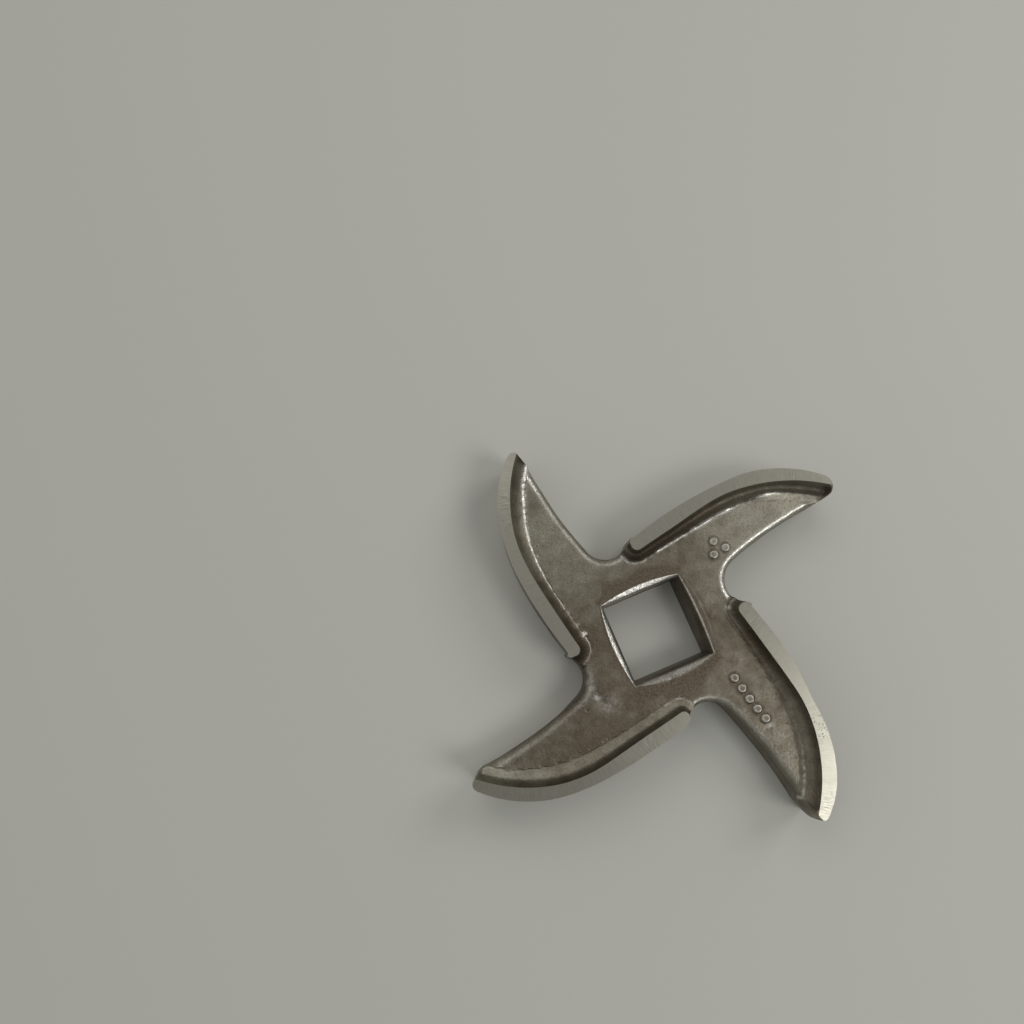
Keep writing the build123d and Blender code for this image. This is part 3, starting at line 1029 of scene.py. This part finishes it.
class Look:
    """The nodes of a material or of the world, with short names for adding to them."""

    def __init__(self, owner):
        self.owner = owner
        owner.use_nodes = True
        self.tree = owner.node_tree

    def fill(self, socket, entry):
        """Set an input to a constant, or link it to an output."""
        if isinstance(entry, bpy.types.NodeSocket):
            self.tree.links.new(entry, socket)
        else:
            socket.default_value = entry

    def fill_in(self, node, **entries):
        """Fill these inputs of a node, with _ for a space in their names."""
        for name, entry in entries.items():
            self.fill(node.inputs[name.replace("_", " ")], entry)
        return node

    def node(self, kind, **entries):
        return self.fill_in(self.tree.nodes.new("ShaderNode" + kind), **entries)

    def finish(self, shader, **entries):
        """Fill in the shader of this name. Gives the finished material or world."""
        self.fill_in(self.tree.nodes[shader], **entries)
        return self.owner

    def place(self):
        return self.node("TexCoord").outputs["Object"]

    def value(self, name):
        node = self.node("Attribute")
        node.attribute_name = name
        return node.outputs["Fac"]

    def noise(self, vector, scale, detail=2.0, roughness=0.5):
        node = self.node("TexNoise", Vector=vector, Scale=scale, Detail=detail, Roughness=roughness)
        return node.outputs["Fac"]

    def combine(self, x, y):
        return self.node("CombineXYZ", X=x, Y=y).outputs["Vector"]

    def math(self, operation, first, second, clamp=False):
        node = self.node("Math")
        node.operation = operation
        node.use_clamp = clamp
        self.fill(node.inputs[0], first)
        self.fill(node.inputs[1], second)
        return node.outputs["Value"]

    def spread(self, value, low, high, to_low, to_high):
        node = self.node("MapRange", Value=value, From_Min=low, From_Max=high, To_Min=to_low, To_Max=to_high)
        return node.outputs["Result"]

    def mixed(self, share, first, second):
        node = self.node("Mix")
        node.data_type = "RGBA"
        self.fill(node.inputs["Factor"], share)
        colours = [one for one in node.inputs if one.type == "RGBA"]
        for socket, entry in zip(colours, (first, second)):
            self.fill(socket, (*entry, 1) if isinstance(entry, tuple) else entry)
        return [one for one in node.outputs if one.type == "RGBA"][0]

    def scaled(self, colour, factor):
        node = self.node("VectorMath")
        node.operation = "SCALE"
        self.fill(node.inputs[0], colour)
        self.fill(node.inputs["Scale"], factor)
        return node.outputs["Vector"]

    def bump(self, height, distance, under=None):
        node = self.node("Bump", Height=height, Distance=distance, Strength=1.0)
        if under is not None:
            self.fill(node.inputs["Normal"], under)
        return node.outputs["Normal"]


def cast_steel():
    """Grainy cast skin with brown stain and painted shade, and bright worn places and painted highlights."""
    look = Look(bpy.data.materials.new("cast_steel"))
    place = look.place()
    stain_and_shade = look.value("stain_and_shade")
    blotches = look.noise(place, BLOTCH_SCALE, 4, 0.6)
    grain = look.noise(place, GRAIN_SCALE, 4, 0.75)
    mottle = look.noise(place, MOTTLE_SCALE, 3, 0.65)
    stain_and_shade = look.math("ADD", stain_and_shade, look.spread(blotches, 0.3, 0.7, -0.1, 0.1))
    stain_and_shade = look.math("ADD", stain_and_shade, look.spread(mottle, 0.3, 0.7, -0.1, 0.1))
    stain_and_shade = look.math("ADD", stain_and_shade, look.spread(grain, 0.3, 0.7, -0.2, 0.2), clamp=True)
    broken = look.spread(grain, 0.35, 0.65, 0.4, 1.3)
    wear_and_highlight = look.math("MULTIPLY", look.value("wear_and_highlight"), broken, clamp=True)
    # Stain and painted shade darken the skin, wear and painted highlights brighten it
    colour = look.mixed(stain_and_shade, CLEAN_CAST, STAINED_AND_SHADED_CAST)
    colour = look.scaled(colour, look.spread(grain, 0.3, 0.7, 0.55, 1.45))
    colour = look.mixed(wear_and_highlight, colour, WORN_AND_HIGHLIGHT_CAST)
    rough = look.spread(blotches, 0.3, 0.7, 0.42, 0.5)
    rough = look.math("SUBTRACT", rough, look.math("MULTIPLY", wear_and_highlight, 0.2))
    normal = look.bump(grain, GRAIN_BUMP, look.bump(mottle, MOTTLE_BUMP))
    return look.finish("Principled BSDF", Base_Color=colour, Metallic=1, Roughness=rough, Normal=normal)


def ground_steel():
    """Ground lands with fine lines across them, deeper scores and opened pores."""
    look = Look(bpy.data.materials.new("ground_steel"))
    along = look.math("ADD", look.value("along"), look.value("arm"))
    across = look.value("across")

    def streaks(scales, detail, roughness):
        scaled = [look.math("MULTIPLY", place, scale) for place, scale in zip((along, across), scales)]
        return look.noise(look.combine(*scaled), 1, detail, roughness)

    lines = streaks(LINE_SCALES, 3, 0.6)
    bands = streaks(BAND_SCALES, 2, 0.5)
    strength = look.spread(look.value("scored"), 0.0, 1.0, 0.07, 0.4)
    shade = look.math("MULTIPLY", look.spread(lines, 0.35, 0.65, -1.0, 1.0), strength)
    # The lands darker, or lighter below zero, arm by arm
    shade = look.math("ADD", shade, look.spread(look.value("land_tone"), -1.0, 1.0, 1.2, 0.8))
    pores = look.spread(look.noise(look.place(), PORE_SCALE, 1), 0.6, 0.66, 0.0, 0.75)
    pores = look.math("MULTIPLY", pores, look.value("pitted"), clamp=True)
    shade = look.math("MULTIPLY", shade, look.math("SUBTRACT", 1.0, pores))
    colour = look.mixed(look.spread(bands, 0.3, 0.7, 0.0, 1.0), GROUND_LIGHT, GROUND_DARK)
    colour = look.scaled(colour, shade)
    rough = look.spread(bands, 0.3, 0.7, 0.29, 0.33)
    return look.finish("Principled BSDF", Base_Color=colour, Metallic=1, Roughness=rough)


mesh.materials.append(cast_steel())
mesh.materials.append(ground_steel())

# --- Studio ---


def about(axis, angle):
    return Matrix.Rotation(radians(angle), 4, axis)


TABLE = about("Z", -TABLE_TURN)


def add_camera():
    data = bpy.data.cameras.new("camera")
    data.sensor_fit = "HORIZONTAL"
    data.sensor_width = SENSOR_WIDTH
    data.lens = SENSOR_WIDTH * FOCAL_SHARE
    data.clip_start = 0.005
    camera = new_object("camera", data)
    place = TABLE @ Matrix.Translation(CAMERA_PLACE)
    camera.matrix_world = place @ about("X", CAMERA_TILT_UP) @ about("Y", CAMERA_TILT_SIDE)
    bpy.context.scene.camera = camera


def add_floor():
    """Plain pale table."""
    half = FLOOR_HALF_SIDE
    floor_mesh = bpy.data.meshes.new("floor")
    corners = [(-half, -half, 0), (half, -half, 0), (half, half, 0), (-half, half, 0)]
    floor_mesh.from_pydata(corners, [], [(0, 1, 2, 3)])
    look = Look(bpy.data.materials.new("floor"))
    colour = (*FLOOR_COLOUR, 1)
    floor_mesh.materials.append(look.finish("Principled BSDF", Base_Color=colour, Roughness=FLOOR_ROUGHNESS))
    new_object("floor", floor_mesh)


def add_soft_box(name, azimuth, zenith, distance, sides, watts):
    """Rectangular lamp that faces the knife from this direction on the table."""
    data = bpy.data.lights.new(name, "AREA")
    data.shape = "RECTANGLE"
    data.size, data.size_y = sides
    data.energy = watts
    aim = TABLE @ about("Z", azimuth) @ about("Y", zenith)
    new_object(name, data).matrix_world = aim @ Matrix.Translation((0, 0, distance))


def add_world():
    """Plain room that is brighter on one side."""
    look = Look(bpy.data.worlds.new("studio"))
    glow = look.node("VectorMath")
    glow.operation = "DOT_PRODUCT"
    look.fill(glow.inputs[0], look.node("TexCoord").outputs["Generated"])
    look.fill(glow.inputs[1], TABLE.to_3x3() @ GLOW_DIRECTION)
    strength = look.spread(glow.outputs["Value"], 0.1, 1.0, ROOM_DARK, ROOM_BRIGHT)
    bpy.context.scene.world = look.finish("Background", Color=(*ROOM_COLOUR, 1), Strength=strength)


add_camera()
add_floor()
for lamp in SOFT_BOXES:
    add_soft_box(*lamp)
add_world()
bpy.context.scene.view_settings.view_transform = "Standard"
